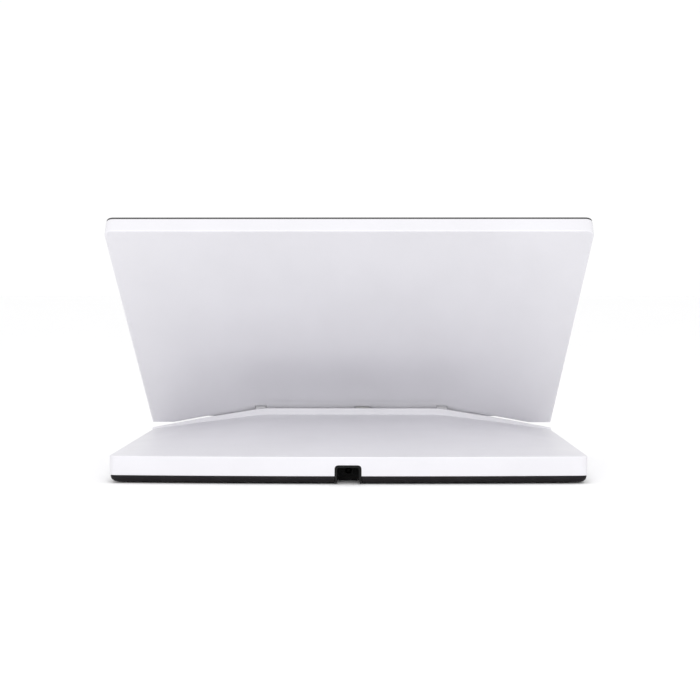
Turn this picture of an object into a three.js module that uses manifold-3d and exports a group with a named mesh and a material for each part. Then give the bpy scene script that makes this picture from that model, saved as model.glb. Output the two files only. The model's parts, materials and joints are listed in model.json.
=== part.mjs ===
// Folding desktop video magnifier: a low base that stands over the page, and a screen that
// tilts on two friction hinges.  Millimetres, +Z up, the user sits at -Y.
import * as THREE from 'three';
import { mergeVertices } from 'three/addons/utils/BufferGeometryUtils.js';
import Module from 'manifold-3d';

const wasm = await Module();
wasm.setup();

// ---------------------------------------------------------------- driving dimensions
const GAP = 0.3;
const WALL = 2.2;
const TILT = THREE.MathUtils.degToRad(41);

const base = {
  rearWidth: 330, crestWidth: 320, rearY: 108.6, length: 211, bow: 5.6, corner: 6,
  floorZ: 1, splitZ: 5.7, rimZ: 19.1, shelfZ: 15.8,
};
base.crestY = base.rearY - base.length;
base.rearWallY = base.rearY + base.bow;
base.frontY = -base.rearWallY;

const crest = { rise: 13.5, creaseRise: 7.2, plateau: 70, crease: 115, lip: 5, lipEnd: 1.6, lipWidth: 3 };
const pivot = { y: base.rearY - 197.75, z: 42.7 };
const head = {
  topWidth: 346.4, bottomWidth: 318.8, top: 209.4, bottom: -21.6, corner: 6,
  back: -7.5, rim: 4.1, glassBack: 4.4, glassFront: 5.6, chinTop: 27.4, wall: 2, bulge: 2.2, scoop: 3.2, lowEdge: -4.2, heelR: 19.4,
};
const lcd = { halfX: 153, bottom: 28.5, top: 204.5 };
const hinge = {
  x: 72, shaftR: 1.7, eyeR: 3.6, knuckleR: 3.4, boreR: 4, earHalf: 4, leafHalf: 10.3, pocketHalf: 13.8,
  armFront: 3.4, armRear: 0.5, slotTop: 1.1, pocketLow: -6.6, pocketTop: 4.4,
};
const leafScrewRows = [10, 19];
const hingeSides = [-1, 1];
const cableStub = { radius: 1.6, from: 0.2, to: 14, ribbon: [4, 14] };
const key = { pitch: 26, v: 14, radius: 8.6, flange: 9.8, top: 6.4, floor: 3 };
const recess = { half: 9.3, top: 13.3, depth: 24, corner: 3, wall: 1.4 };
const socket = { radius: 3.6, z: 7.6 };
const camera = { y: -45, windowX: 44, windowY: 35, barrelR: 7.5 };
const bay = { x0: 52, x1: 144, halfY: 58 };
const bodyScrewPlaces = [[-140, 92], [-64, 92], [64, 92], [140, 92], [-136, -78], [136, -78]];
const batteryScrewPlaces = [[bay.x0 + 7, 0], [bay.x1 - 7, 0]];
const glidePlaces = [[-148, 80], [148, 80], [-140, -98], [140, -98]];

// ---------------------------------------------------------------- materials
const mix = (a, b, t) => a + (b - a) * t;
const clamp = (t) => Math.min(1, Math.max(0, t));
const smooth = (t) => clamp(t) ** 2 * (3 - 2 * clamp(t));

const look = (color, roughness, metalness = 0) =>
  new THREE.MeshStandardMaterial({ color, roughness, metalness });
const white = look(0xe9e8ec, 0.42);
const black = look(0x262326, 0.55);
const screenBlack = look(0x0b0c0e, 0.08);
const clear = look(0x99a3a6, 0.06);
const rubber = look(0x2b2a2b, 0.9);
const steel = look(0xb9bbbd, 0.35, 1);
const aluminium = look(0xd3d5d8, 0.4, 1);
const circuit = look(0x1d5a3a, 0.55);
const cell = look(0x3b4046, 0.5);
const diffusing = look(0xf3f3ee, 0.6);
const keyGrey = look(0x3c3d42, 0.6);
const keyYellow = look(0xd8a21c, 0.5);
const cableBlack = look(0x18181a, 0.55);

// ---------------------------------------------------------------- solid helpers
function solid(geometry) {
  const plain = geometry.clone();
  plain.deleteAttribute('normal');
  plain.deleteAttribute('uv');
  const merged = mergeVertices(plain, 1e-3);
  return new wasm.Manifold(new wasm.Mesh({
    numProp: 3,
    vertProperties: new Float32Array(merged.attributes.position.array),
    triVerts: new Uint32Array(merged.index.array),
  }));
}

function part(name, body, material) {
  const data = body.getMesh();
  const geometry = new THREE.BufferGeometry();
  geometry.setAttribute('position', new THREE.BufferAttribute(new Float32Array(data.vertProperties), 3));
  geometry.setIndex(new THREE.BufferAttribute(new Uint32Array(data.triVerts), 1));
  geometry.computeVertexNormals();
  const mesh = new THREE.Mesh(geometry, material);
  mesh.name = name;
  return mesh;
}

function box([x0, x1], [y0, y1], [z0, z1]) {
  const geometry = new THREE.BoxGeometry(x1 - x0, y1 - y0, z1 - z0);
  geometry.translate((x0 + x1) / 2, (y0 + y1) / 2, (z0 + z1) / 2);
  return solid(geometry);
}

// Round bars: along X at (y, z), along Y at (x, z), and along Z at (x, y).
function bar(radius, from, to, segments) {
  const geometry = new THREE.CylinderGeometry(radius, radius, to - from, segments);
  geometry.translate(0, (from + to) / 2, 0);
  return geometry;
}
const rodX = (radius, [x0, x1], [y, z], segments = 16) =>
  solid(bar(radius, x0, x1, segments).rotateZ(-Math.PI / 2).translate(0, y, z));
const rodY = (radius, [y0, y1], [x, z], segments = 16) =>
  solid(bar(radius, y0, y1, segments).translate(x, 0, z));
const rodZ = (radius, [z0, z1], [x, y], segments = 16) =>
  solid(bar(radius, z0, z1, segments).rotateX(Math.PI / 2).translate(x, y, 0));

function prism(shape, [z0, z1], curveSegments = 4) {
  const geometry = new THREE.ExtrudeGeometry(shape, { depth: z1 - z0, bevelEnabled: false, curveSegments });
  geometry.translate(0, 0, z0);
  return solid(geometry);
}

const union = (first, ...rest) => rest.reduce((sum, body) => sum.add(body), first);
const cut = (body, ...tools) => tools.reduce((left, tool) => left.subtract(tool), body);

function roundedRect([x0, x1], [y0, y1], r) {
  const shape = new THREE.Shape();
  shape.moveTo(x0 + r, y0);
  shape.absarc(x1 - r, y0 + r, r, -Math.PI / 2, 0);
  shape.absarc(x1 - r, y1 - r, r, 0, Math.PI / 2);
  shape.absarc(x0 + r, y1 - r, r, Math.PI / 2, Math.PI);
  shape.absarc(x0 + r, y0 + r, r, Math.PI, Math.PI * 1.5);
  return shape;
}

// A four-sided plate, half0 wide each way at y0 and half1 at y1, with rounded corners.
function taperedPlate([half0, half1], [y0, y1], [r0, r1], bow = 0) {
  const slope = (half1 - half0) / (y1 - y0);
  const shape = new THREE.Shape();
  shape.moveTo(-half0 + r0, y0);
  shape.lineTo(half0 - r0, y0);
  shape.quadraticCurveTo(half0, y0, half0 + slope * r0, y0 + r0);
  shape.lineTo(half1 - slope * r1, y1 - r1);
  shape.quadraticCurveTo(half1, y1, half1 - r1, y1);
  if (bow) shape.quadraticCurveTo(half1 / 2, y1 + bow, 0, y1 + bow);
  if (bow) shape.quadraticCurveTo(-half1 / 2, y1 + bow, -half1 + r1, y1);
  else shape.lineTo(-half1 + r1, y1);
  shape.quadraticCurveTo(-half1, y1, -half1 + slope * r1, y1 - r1);
  shape.lineTo(-half0 - slope * r0, y0 + r0);
  shape.quadraticCurveTo(-half0, y0, -half0 + r0, y0);
  return shape;
}

// A block whose front edge, underside and top follow functions of x and y.  Its rows of
// vertices are closer together near the front, where the shape changes fastest.
function surfaceBlock({ halfX, steps: [nx, ny], front, rear, under, over }) {
  const geometry = new THREE.BoxGeometry(2, 1, 1, nx, ny, 1);
  const at = geometry.attributes.position;
  for (let i = 0; i < at.count; i += 1) {
    const x = at.getX(i) * halfX;
    const y = mix(front(x), rear(x), (at.getY(i) + 0.5) ** 1.5);
    at.setXYZ(i, x, y, at.getZ(i) > 0 ? over(x, y) : under(x, y));
  }
  return solid(geometry);
}

// ---------------------------------------------------------------- shape of the base
const baseHalf = (y) => mix(base.rearWidth, base.crestWidth, (base.rearY - y) / base.length) / 2;
const basePlan = (inset) => taperedPlate(
  [baseHalf(base.frontY) - inset, base.rearWidth / 2 - inset],
  [base.frontY + inset, base.rearY - inset],
  [Math.max(12 - inset, 2), Math.max(base.corner - inset, 1)],
  base.bow,
);

// How far the crest stands above the rim: a level middle that falls away to each side.
function crestRise(x) {
  const a = Math.abs(x);
  const outer = clamp((base.crestWidth / 2 - a) / (base.crestWidth / 2 - crest.crease));
  if (a > crest.crease) return crest.creaseRise * outer;
  return mix(crest.rise, crest.creaseRise, clamp((a - crest.plateau) / (crest.crease - crest.plateau)));
}
const lipTop = (x) =>
  base.rimZ + crestRise(x) + mix(crest.lipEnd, crest.lip, crestRise(x) / crest.rise);

// The crest's face follows the screen's back, just clear of it.
const backPlaneY = (z) => pivot.y - head.back * Math.sin(TILT)
  + (z - pivot.z - head.back * Math.cos(TILT)) / Math.tan(TILT);
const crestFaceY = (x) => backPlaneY(lipTop(x)) + 2 * GAP;
const crestHeelY = (x) => crestFaceY(x) + crest.lipWidth;

// The top rises from the rear edge to the crest, with a crease from each rear corner.
function baseTop(x, y) {
  const t = clamp((base.rearY - y) / (base.rearY - crestHeelY(x)));
  const a = Math.abs(x);
  const creaseX = mix(base.rearWidth / 2, crest.crease, t ** 0.8);
  if (a > creaseX) {
    return base.rimZ + t * crest.creaseRise * clamp((baseHalf(y) - a) / (baseHalf(y) - creaseX));
  }
  const level = crest.plateau * t ** 0.2;
  return base.rimZ + t * mix(crest.rise, crest.creaseRise, clamp((a - level) / (creaseX - level)));
}

function hump(inset, bottomZ) {
  const heel = inset ? inset + 0.4 : 0.6;
  return surfaceBlock({
    halfX: base.rearWidth / 2 + 1,
    steps: [24, 8],
    front: (x) => crestFaceY(x) + heel,
    rear: () => base.rearWallY + 1,
    under: () => bottomZ,
    over: (x, y) => baseTop(x, y) - inset,
  });
}

const crestLip = () => surfaceBlock({
  halfX: base.crestWidth / 2,
  steps: [24, 1],
  front: crestFaceY,
  rear: crestHeelY,
  under: () => base.shelfZ - 1,
  over: lipTop,
});

const shelf = (inset, bottomZ) =>
  box([-200, 200], [base.frontY - 1, pivot.y + 20], [bottomZ, base.shelfZ - inset]);

// The cable recess, open at the rear and through the tray.
function recessSpace(grow, [z0, z1] = [-1, 99]) {
  const half = recess.half + grow;
  const shape = roundedRect([-half, half], [-20, recess.top + grow], recess.corner + grow);
  const geometry = new THREE.ExtrudeGeometry(shape, { depth: 99, bevelEnabled: false, curveSegments: 4 });
  geometry.rotateX(Math.PI / 2).translate(0, base.rearWallY - recess.depth - grow + 99, 0);
  return solid(geometry).intersect(box([-99, 99], [0, 250], [z0, z1]));
}

// ---------------------------------------------------------------- base casing
function baseTopCover() {
  const outside = union(hump(0, base.splitZ), crestLip(), shelf(0, base.splitZ)).intersect(prism(basePlan(0), [0, 60]));
  const inside = union(hump(WALL, 0), shelf(WALL, 0)).intersect(prism(basePlan(WALL), [-1, 60]));
  const bosses = bodyScrewPlaces.map(([x, y]) => rodZ(3.6, [base.splitZ, baseTop(x, y) - WALL / 2], [x, y], 12));
  const holes = bodyScrewPlaces.map((place) => rodZ(1.3, [0, 13], place, 10));
  const earSlots = [-hinge.x, hinge.x].map((x) =>
    box([x - hinge.earHalf - 0.6, x + hinge.earHalf + 0.6],
      [pivot.y - hinge.armFront - 0.8, pivot.y + hinge.armRear + 0.8], [base.shelfZ - 4, base.shelfZ + 1]));
  const cableSlot = box([-17, -2], [pivot.y - 2, pivot.y + 3], [base.shelfZ - 4, base.shelfZ + 1]);
  return cut(union(outside.subtract(inside), ...bosses), ...holes, ...earSlots, cableSlot, recessSpace(0));
}

function baseTray() {
  const rimInset = 0.4;
  const slab = union(
    prism(basePlan(rimInset), [3.4, base.splitZ - GAP]),
    prism(basePlan(rimInset + 1.4), [2, 3.5]),
    prism(basePlan(rimInset + 3.6), [base.floorZ, 2.1]),
  );
  const hollow = prism(basePlan(rimInset + 5.4), [3, base.splitZ]);
  const posts = bodyScrewPlaces.map((place) => rodZ(3.6, [2, base.splitZ - GAP], place, 12));
  const holes = bodyScrewPlaces.flatMap((place) => [
    rodZ(1.6, [0, base.splitZ + 1], place, 10),
    rodZ(3.2, [0, 2.9], place, 12),
  ]);
  const seats = glidePlaces.map((place) => rodZ(8.3, [0, base.floorZ + 0.8], place, 20));
  const readingHole = box([-camera.windowX, camera.windowX],
    [camera.y - camera.windowY, camera.y + camera.windowY], [0, base.splitZ]);
  const batteryHole = box([bay.x0, bay.x1], [-bay.halfY, bay.halfY], [0, base.splitZ]);
  return cut(union(slab.subtract(hollow), ...posts), ...holes, ...seats, readingHole, batteryHole, recessSpace(0));
}

function connectorRecess() {
  const outer = recessSpace(-GAP, [base.floorZ, 99]).intersect(box([-20, 20], [0, base.rearWallY - GAP], [0, 20]));
  const inner = recessSpace(-GAP - recess.wall);
  const wallY = base.rearWallY - recess.depth;
  const socketHole = rodY(socket.radius + GAP, [wallY - 5, wallY + 5], [0, socket.z]);
  return cut(outer, inner, socketHole);
}

function dcSocket() {
  const front = base.rearWallY - recess.depth + recess.wall + 1.6;
  const barrel = rodY(socket.radius, [front - 13, front], [0, socket.z]);
  const block = box([-4.6, 4.6], [front - 16, front - 4.5], [socket.z - 4.2, socket.z + 4.2]);
  const hole = rodY(socket.radius - 1.1, [front - 9, front + 1], [0, socket.z], 12);
  const pin = rodY(0.8, [front - 10, front - 1], [0, socket.z], 8);
  return union(union(barrel, block).subtract(hole), pin);
}

function countersunkScrew(headR, shankR, length) {
  const outline = [[0, 0], [headR, 0], [headR, 1.3], [shankR, 1.4], [shankR, length], [0, length]];
  const geometry = new THREE.LatheGeometry(outline.map(([r, z]) => new THREE.Vector2(r, z)), 10);
  return solid(geometry.rotateX(Math.PI / 2));
}

function batteryDoor() {
  const plate = box([bay.x0 + GAP, bay.x1 - GAP], [GAP - bay.halfY, bay.halfY - GAP], [base.floorZ, 2.9]);
  return cut(plate, ...batteryScrewPlaces.flatMap((place) => [
    rodZ(1.6, [0, 9], place, 10),
    rodZ(3.2, [0, 2.4], place, 12),
  ]));
}

// ---------------------------------------------------------------- inside the base
function populatedBoard([x0, x1], [y0, y1], z, thick, chips) {
  const parts = chips.map(([cx, cy, w, d, h]) =>
    box([cx - w / 2, cx + w / 2], [cy - d / 2, cy + d / 2], [z + thick - 0.1, z + thick + h]));
  return union(box([x0, x1], [y0, y1], [z, z + thick]), ...parts);
}

const mainBoard = () => populatedBoard([-144, -52], [-62, 62], 7.4, 1.6, [
  [-104, 4, 24, 24, 2.2], [-74, 10, 14, 14, 1.6], [-122, -34, 16, 10, 1.4], [-80, -36, 20, 8, 1.4],
  [-130, 30, 10, 14, 5], [-66, 44, 12, 9, 6], [-100, 46, 18, 8, 4],
]);

const batteryPack = () => union(
  prism(roundedRect([bay.x0 + 3, bay.x1 - 3], [8, bay.halfY - 3], 4), [7.2, 17]),
  prism(roundedRect([bay.x0 + 3, bay.x1 - 3], [3 - bay.halfY, -8], 4), [7.2, 17]),
  box([bay.x0 + 12, bay.x1 - 12], [-9, 9], [8, 13]),
);

function cameraHolder() {
  const bridge = box([-27, 27], [camera.y - 9, camera.y + 9], [21.4, 23.6]);
  const legs = [-1, 1].map((side) =>
    box([side * 25 - 2, side * 25 + 2], [camera.y - 9, camera.y + 9], [base.splitZ + 4.4, 22]));
  return cut(union(bridge, ...legs), rodZ(camera.barrelR + GAP, [20, 25], [0, camera.y], 24));
}

const cameraBoard = () => populatedBoard([-13, 13], [camera.y - 12, camera.y + 12], 24, 1.2, [[0, camera.y, 9, 9, 1]]);

function cameraBarrel() {
  const barrel = union(
    rodZ(camera.barrelR, [15, 23.8], [0, camera.y], 24),
    rodZ(camera.barrelR + 1.2, [16, 18.5], [0, camera.y], 24),
  );
  return barrel.subtract(rodZ(camera.barrelR - 1.6, [10, 21], [0, camera.y], 24));
}

function cameraLens() {
  const radius = camera.barrelR - 1.9;
  const dome = Array.from({ length: 6 }, (_, i) => (i / 5) * (Math.PI / 2))
    .map((angle) => new THREE.Vector2(radius * Math.sin(angle), -2.2 * Math.cos(angle)));
  const geometry = new THREE.LatheGeometry([...dome, new THREE.Vector2(radius, 1.6), new THREE.Vector2(0, 1.6)], 20);
  return solid(geometry.rotateX(Math.PI / 2).translate(0, camera.y, 18.4));
}

const readingWindow = () => box([GAP - camera.windowX, camera.windowX - GAP],
  [camera.y - camera.windowY + GAP, camera.y + camera.windowY - GAP], [base.floorZ + 1, base.floorZ + 2.6]);

function ledBoard(side) {
  const rows = [-24, -12, 0, 12, 24].map((dy) =>
    box([side * 36 - 1.6, side * 36 + 1.6], [camera.y + dy - 1.6, camera.y + dy + 1.6], [8.6, 9.5]));
  return union(box([side * 36 - 4.5, side * 36 + 4.5], [camera.y - 31, camera.y + 31], [9.4, 10.6]), ...rows);
}

const lightDiffuser = (side) => prism(
  roundedRect([side * 36 - 6, side * 36 + 6], [camera.y - 33, camera.y + 33], 2), [5.8, 7.8]);

// ---------------------------------------------------------------- hinges
function hingeBracket(x) {
  const span = [x - hinge.earHalf, x + hinge.earHalf];
  const ear = union(
    rodX(hinge.eyeR, span, [pivot.y, pivot.z], 24),
    box(span, [pivot.y - hinge.armFront, pivot.y + hinge.armRear], [7, pivot.z - 2.6]),
    box(span, [pivot.y - 3, pivot.y + hinge.armRear], [pivot.z - 5, pivot.z]),
  );
  const foot = box([x - 13, x + 13], [pivot.y - 9, pivot.y + 12], [base.splitZ + 0.2, base.splitZ + 3.2]);
  const shaftHole = rodX(hinge.shaftR + 0.15, [x - 20, x + 20], [pivot.y, pivot.z], 16);
  return cut(union(ear, foot), shaftHole);
}

function hingeLeaf(x) {
  const sides = [[x - hinge.leafHalf, x - hinge.earHalf - GAP], [x + hinge.earHalf + GAP, x + hinge.leafHalf]];
  const knuckles = sides.flatMap((span) => [
    rodX(hinge.knuckleR, span, [0, 0], 20),
    box(span, [0, 5], [-0.9, 0.9]),
  ]);
  const plate = box([x - hinge.leafHalf, x + hinge.leafHalf], [hinge.eyeR + 0.6, 24], [-0.9, 0.9]);
  const holes = leafScrewRows.map((v) => rodZ(1.5, [-2, 2], [x, v], 10));
  return cut(union(plate, ...knuckles), ...holes, rodX(hinge.shaftR + 0.02, [x - 20, x + 20], [0, 0], 16));
}

function hingeShaft(x, side) {
  const inner = x - side * (hinge.leafHalf + 2.2);
  const outer = x + side * (hinge.leafHalf + GAP);
  const span = [Math.min(inner, outer), Math.max(inner, outer)];
  const cap = [outer, outer + side * 1.6].sort((a, b) => a - b);
  return union(rodX(hinge.shaftR - 0.02, span, [0, 0], 16), rodX(3, cap, [0, 0], 16));
}

function hingeNut(x, side) {
  const span = [x - side * (hinge.leafHalf + GAP), x - side * (hinge.leafHalf + 2)].sort((a, b) => a - b);
  return cut(rodX(3.1, span, [0, 0], 6), rodX(hinge.shaftR + 0.03, [x - 20, x + 20], [0, 0], 16));
}

// ---------------------------------------------------------------- shape of the screen
// Screen pieces are drawn flat: x across, y up the screen from the hinge, z out of the glass.
const headHalf = (v) => mix(head.bottomWidth, head.topWidth, (v - head.bottom) / (head.top - head.bottom)) / 2;
const headPlan = (inset, [v0, v1] = [head.bottom, head.top], corner = head.corner) => taperedPlate(
  [headHalf(v0) - inset, headHalf(v1) - inset],
  [v0 + inset, v1 - inset],
  [Math.max(2.5 - inset, 0.6), Math.max(corner - inset, 0.6)],
);

// The back swells towards its middle and is scooped out low down, where the crest comes in.
function backFace(x, v) {
  const fromTop = smooth((head.top - v) / 105);
  const fromSide = smooth((headHalf(v) - Math.abs(x)) / 78);
  const swell = head.bulge * Math.min(fromTop, fromSide) * smooth((v - 15) / 70);
  const across = 1 - smooth((Math.abs(x) - crest.plateau) / 26);
  const up = (0.69 + 0.31 * smooth((v + 2) / 8)) * (1 - smooth((v - 13) / 60));
  return head.back - swell + head.scoop * across * up;
}

// Below this line the screen's back is hidden by the crest, and is cut away to clear it.
function hiddenLine(x) {
  const lip = (lipTop(x) - pivot.z - head.back * Math.cos(TILT)) / Math.sin(TILT);
  return Math.min(head.lowEdge, lip + 5 * GAP);
}

function hiddenRegion(raise, [w0, w1]) {
  const shape = new THREE.Shape();
  shape.moveTo(-175, -60);
  shape.lineTo(175, -60);
  for (let x = 175; x >= -175; x -= 12.5) shape.lineTo(x, hiddenLine(x) + raise);
  return prism(shape, [w0, w1]);
}

function headBlock(lift, [w1, inset]) {
  return surfaceBlock({
    halfX: head.topWidth / 2,
    steps: [24, 18],
    front: () => head.bottom - 1,
    rear: () => head.top + 1,
    under: (x, v) => backFace(x, v) + lift,
    over: () => w1,
  }).intersect(prism(headPlan(inset), [-20, 20]));
}

// The lower edge swings past the crest, so its back corner is rounded about the hinge.
const heelRelief = () => box([-200, 200], [-60, -5], [-30, 0])
  .subtract(rodX(head.heelR, [-200, 200], [0, 0], 72));

function screenBackCover() {
  const outside = cut(headBlock(0, [head.rim, 0]), hiddenRegion(0, [-20, 1.3]), heelRelief());
  const inside = headBlock(head.wall, [head.rim + 1, WALL]).subtract(hiddenRegion(head.wall, [-20, 3.6]));
  const bosses = hingeSides.flatMap((side) => leafScrewRows.map((v) =>
    rodZ(2.8, [backFace(hinge.x, v) + 0.6, -1.2], [side * hinge.x, v], 12)));
  const holes = hingeSides.flatMap((side) => leafScrewRows.map((v) =>
    rodZ(1.15, [backFace(hinge.x, v) + 1, 0], [side * hinge.x, v], 10)));
  const pockets = hingeSides.flatMap((side) => {
    const pocket = [side * hinge.x - hinge.pocketHalf, side * hinge.x + hinge.pocketHalf];
    const slot = [side * hinge.x - hinge.earHalf - 0.6, side * hinge.x + hinge.earHalf + 0.6];
    return [
      rodX(hinge.boreR, pocket, [0, 0], 32),
      box(pocket, [hinge.pocketLow, hinge.pocketTop], [-1.2, 6]),
      box(slot, [hinge.pocketLow, hinge.slotTop], [-12, 6]),
    ];
  });
  const cablePockets = [
    box([-18, 18], [hinge.pocketLow, 4.2], [-2.4, 6]),
    box([-16, -2], [hinge.pocketLow, 0.2], [-12, 0]),
  ];
  return cut(union(outside.subtract(inside), ...bosses), ...holes, ...pockets, ...cablePockets);
}

const screenGlass = () => prism(headPlan(0, [head.chinTop + GAP, head.top]), [head.glassBack, head.glassFront]);

const keyPlaces = [-2, -1, 0, 1, 2].map((i) => [i * key.pitch, key.v]);
function controlPanel() {
  const plate = prism(headPlan(0, [head.bottom, head.chinTop], 0.8), [head.glassBack, head.glassFront]);
  return cut(plate, ...keyPlaces.map((place) => rodZ(key.radius + GAP, [0, 9], place, 28)));
}

function keyCap([x, v]) {
  const radius = key.radius;
  const outline = [
    [0, key.floor + 1.6], [5, key.floor + 1.6], [5, key.floor], [key.flange, key.floor],
    [key.flange, head.rim], [radius, head.rim], [radius, key.top - 0.6], [radius - 0.7, key.top],
    [radius - 2, key.top], [0, key.top - 0.5],
  ];
  const geometry = new THREE.LatheGeometry(outline.map(([r, w]) => new THREE.Vector2(r, w)), 20);
  return solid(geometry.rotateX(Math.PI / 2).translate(x, v, 0));
}

const keyBoard = () => union(
  box([-60, 60], [4.4, 23.6], [0.9, 1.9]),
  ...keyPlaces.map(([x, v]) => box([x - 3, x + 3], [v - 3, v + 3], [1.8, 3.4])),
);

const displayFrame = () => cut(
  prism(headPlan(2.5, [head.chinTop - 4.3, head.top]), [1.6, head.rim]),
  box([-lcd.halfX - 0.5, lcd.halfX + 0.5], [lcd.bottom - GAP, lcd.top + GAP], [0, 9]),
);
const lcdPanel = () => box([-lcd.halfX, lcd.halfX], [lcd.bottom, lcd.top], [2.5, head.rim]);
const backlightUnit = () => box([-lcd.halfX, lcd.halfX], [lcd.bottom, lcd.top], [0.6, 2.2]);

function lcdBracket(side) {
  const x = side * (lcd.halfX - 8);
  const strip = box([x - 5, x + 5], [lcd.bottom + 10, lcd.top - 10], [-0.9, GAP]);
  const feet = [lcd.bottom + 20, lcd.top - 20].map((v) => box([x - 5, x + 5], [v - 6, v + 6], [-4.6, -0.8]));
  return union(strip, ...feet);
}

const displayBoard = () => populatedBoard([-62, 62], [82, 124], -4.8, 1.4, [
  [-30, 104, 16, 16, 1.4], [10, 108, 12, 12, 1.2], [42, 100, 20, 8, 2], [-52, 112, 8, 12, 2], [9, 86, 16, 5, 1.2],
]);

// The screen cable: each half ends in a short stub on the hinge's axis, so it only twists there.
function displayCableBase() {
  const [near, far] = cableStub.ribbon;
  return union(
    rodX(cableStub.radius, [-cableStub.to, -cableStub.from], [pivot.y, pivot.z], 12),
    box([-far, -near], [pivot.y - 1.5, pivot.y - 0.5], [9.2, pivot.z]),
    box([-58, -near], [pivot.y - 1.5, pivot.y + 5.5], [9.2, 10.2]),
    box([-58, -52], [pivot.y - 1.5, -56], [9.2, 10.2]),
  );
}
function displayCableHead() {
  return union(
    rodX(cableStub.radius, [cableStub.from, cableStub.to], [0, 0], 12),
    box(cableStub.ribbon, [0, 90], [-0.9, -0.1]),
    box(cableStub.ribbon, [84, 90], [-1.9, -0.1]),
  );
}

function leafScrew(x, v) {
  const bottom = backFace(hinge.x, v) + 1.4;
  const body = countersunkScrew(2.4, 1.1, 0.9 + 1.3 - bottom);
  return body.rotate([180, 0, 0]).translate([x, v, 0.9 + 1.5]);
}

// ---------------------------------------------------------------- assembly
const model = new THREE.Group();
model.name = 'video_magnifier';

const baseGroup = new THREE.Group();
baseGroup.add(
  part('base_top_cover', baseTopCover(), white),
  part('base_tray', baseTray(), black),
  part('connector_recess', connectorRecess(), black),
  part('dc_socket', dcSocket(), steel),
  part('battery_door', batteryDoor(), black),
  part('battery_pack', batteryPack(), cell),
  part('main_board', mainBoard(), circuit),
  part('camera_holder', cameraHolder(), black),
  part('camera_board', cameraBoard(), circuit),
  part('camera_lens_barrel', cameraBarrel(), black),
  part('camera_lens', cameraLens(), clear),
  part('reading_window', readingWindow(), clear),
  part('display_cable_base', displayCableBase(), cableBlack),
);
bodyScrewPlaces.forEach(([x, y], i) => baseGroup.add(
  part(`body_screw_${i + 1}`, countersunkScrew(2.9, 1.15, 10.5).translate([x, y, 1.5]), steel)));
batteryScrewPlaces.forEach(([x, y], i) => baseGroup.add(
  part(`battery_door_screw_${i + 1}`, countersunkScrew(2.9, 1.15, 4.4).translate([x, y, 1]), steel)));
glidePlaces.forEach((place, i) => baseGroup.add(
  part(`glide_${i + 1}`, rodZ(8, [0, base.floorZ + 0.6], place, 24), rubber)));

const headGroup = new THREE.Group();
headGroup.position.set(0, pivot.y, pivot.z);
headGroup.rotation.x = TILT;
headGroup.add(
  part('screen_back_cover', screenBackCover(), white),
  part('screen_glass', screenGlass(), screenBlack),
  part('control_panel', controlPanel(), black),
  part('display_frame', displayFrame(), black),
  part('lcd_panel', lcdPanel(), screenBlack),
  part('backlight_unit', backlightUnit(), steel),
  part('display_driver_board', displayBoard(), circuit),
  part('display_cable_head', displayCableHead(), cableBlack),
  part('key_board', keyBoard(), circuit),
);
const keyNames = ['power', 'zoom_out', 'colour_mode', 'zoom_in', 'overview'];
keyNames.forEach((name, i) => headGroup.add(
  part(`${name}_key`, keyCap(keyPlaces[i]), name === 'colour_mode' ? keyYellow : keyGrey)));

[['left', -1], ['right', 1]].forEach(([name, side]) => {
  const x = side * hinge.x;
  baseGroup.add(
    part(`hinge_bracket_${name}`, hingeBracket(x), aluminium),
    part(`led_board_${name}`, ledBoard(side), circuit),
    part(`light_diffuser_${name}`, lightDiffuser(side), diffusing),
  );
  headGroup.add(
    part(`hinge_leaf_${name}`, hingeLeaf(x), steel),
    part(`hinge_shaft_${name}`, hingeShaft(x, side), steel),
    part(`hinge_nut_${name}`, hingeNut(x, side), steel),
    part(`lcd_bracket_${name}`, lcdBracket(side), steel),
  );
  leafScrewRows.forEach((v, i) => headGroup.add(part(`leaf_screw_${name}_${i + 1}`, leafScrew(x, v), steel)));
});

model.add(baseGroup, headGroup);
export default model;
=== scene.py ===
"""A folding desktop video magnifier, seen from behind with its screen raised over the base."""
import json
import math

import bmesh
import bpy
import numpy as np
from mathutils import Matrix, Vector


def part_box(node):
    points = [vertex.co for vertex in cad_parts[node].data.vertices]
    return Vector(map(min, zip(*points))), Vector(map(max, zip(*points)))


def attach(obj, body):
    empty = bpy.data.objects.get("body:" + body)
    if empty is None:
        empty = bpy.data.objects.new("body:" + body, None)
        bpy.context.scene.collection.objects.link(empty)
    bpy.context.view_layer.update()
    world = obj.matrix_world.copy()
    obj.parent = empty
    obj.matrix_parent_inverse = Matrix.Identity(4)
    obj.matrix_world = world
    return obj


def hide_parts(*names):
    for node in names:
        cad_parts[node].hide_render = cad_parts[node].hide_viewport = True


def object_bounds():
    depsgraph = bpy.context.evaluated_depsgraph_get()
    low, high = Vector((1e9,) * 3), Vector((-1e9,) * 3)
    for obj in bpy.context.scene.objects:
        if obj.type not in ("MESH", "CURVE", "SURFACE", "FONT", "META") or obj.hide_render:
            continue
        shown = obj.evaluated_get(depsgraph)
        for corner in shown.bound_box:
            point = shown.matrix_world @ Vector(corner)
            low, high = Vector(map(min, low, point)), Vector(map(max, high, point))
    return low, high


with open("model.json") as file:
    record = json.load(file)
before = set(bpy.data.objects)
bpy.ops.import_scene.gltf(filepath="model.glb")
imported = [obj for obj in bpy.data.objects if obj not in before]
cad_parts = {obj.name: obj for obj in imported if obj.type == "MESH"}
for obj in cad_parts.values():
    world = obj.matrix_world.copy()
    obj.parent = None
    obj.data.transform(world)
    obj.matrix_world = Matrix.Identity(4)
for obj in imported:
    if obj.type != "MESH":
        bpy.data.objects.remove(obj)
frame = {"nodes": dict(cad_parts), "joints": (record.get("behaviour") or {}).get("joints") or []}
cad_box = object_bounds()

MM = 0.001
GAP = 0.3
WALL = 2.2
SIDES = {"left": -1, "right": 1}


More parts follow.
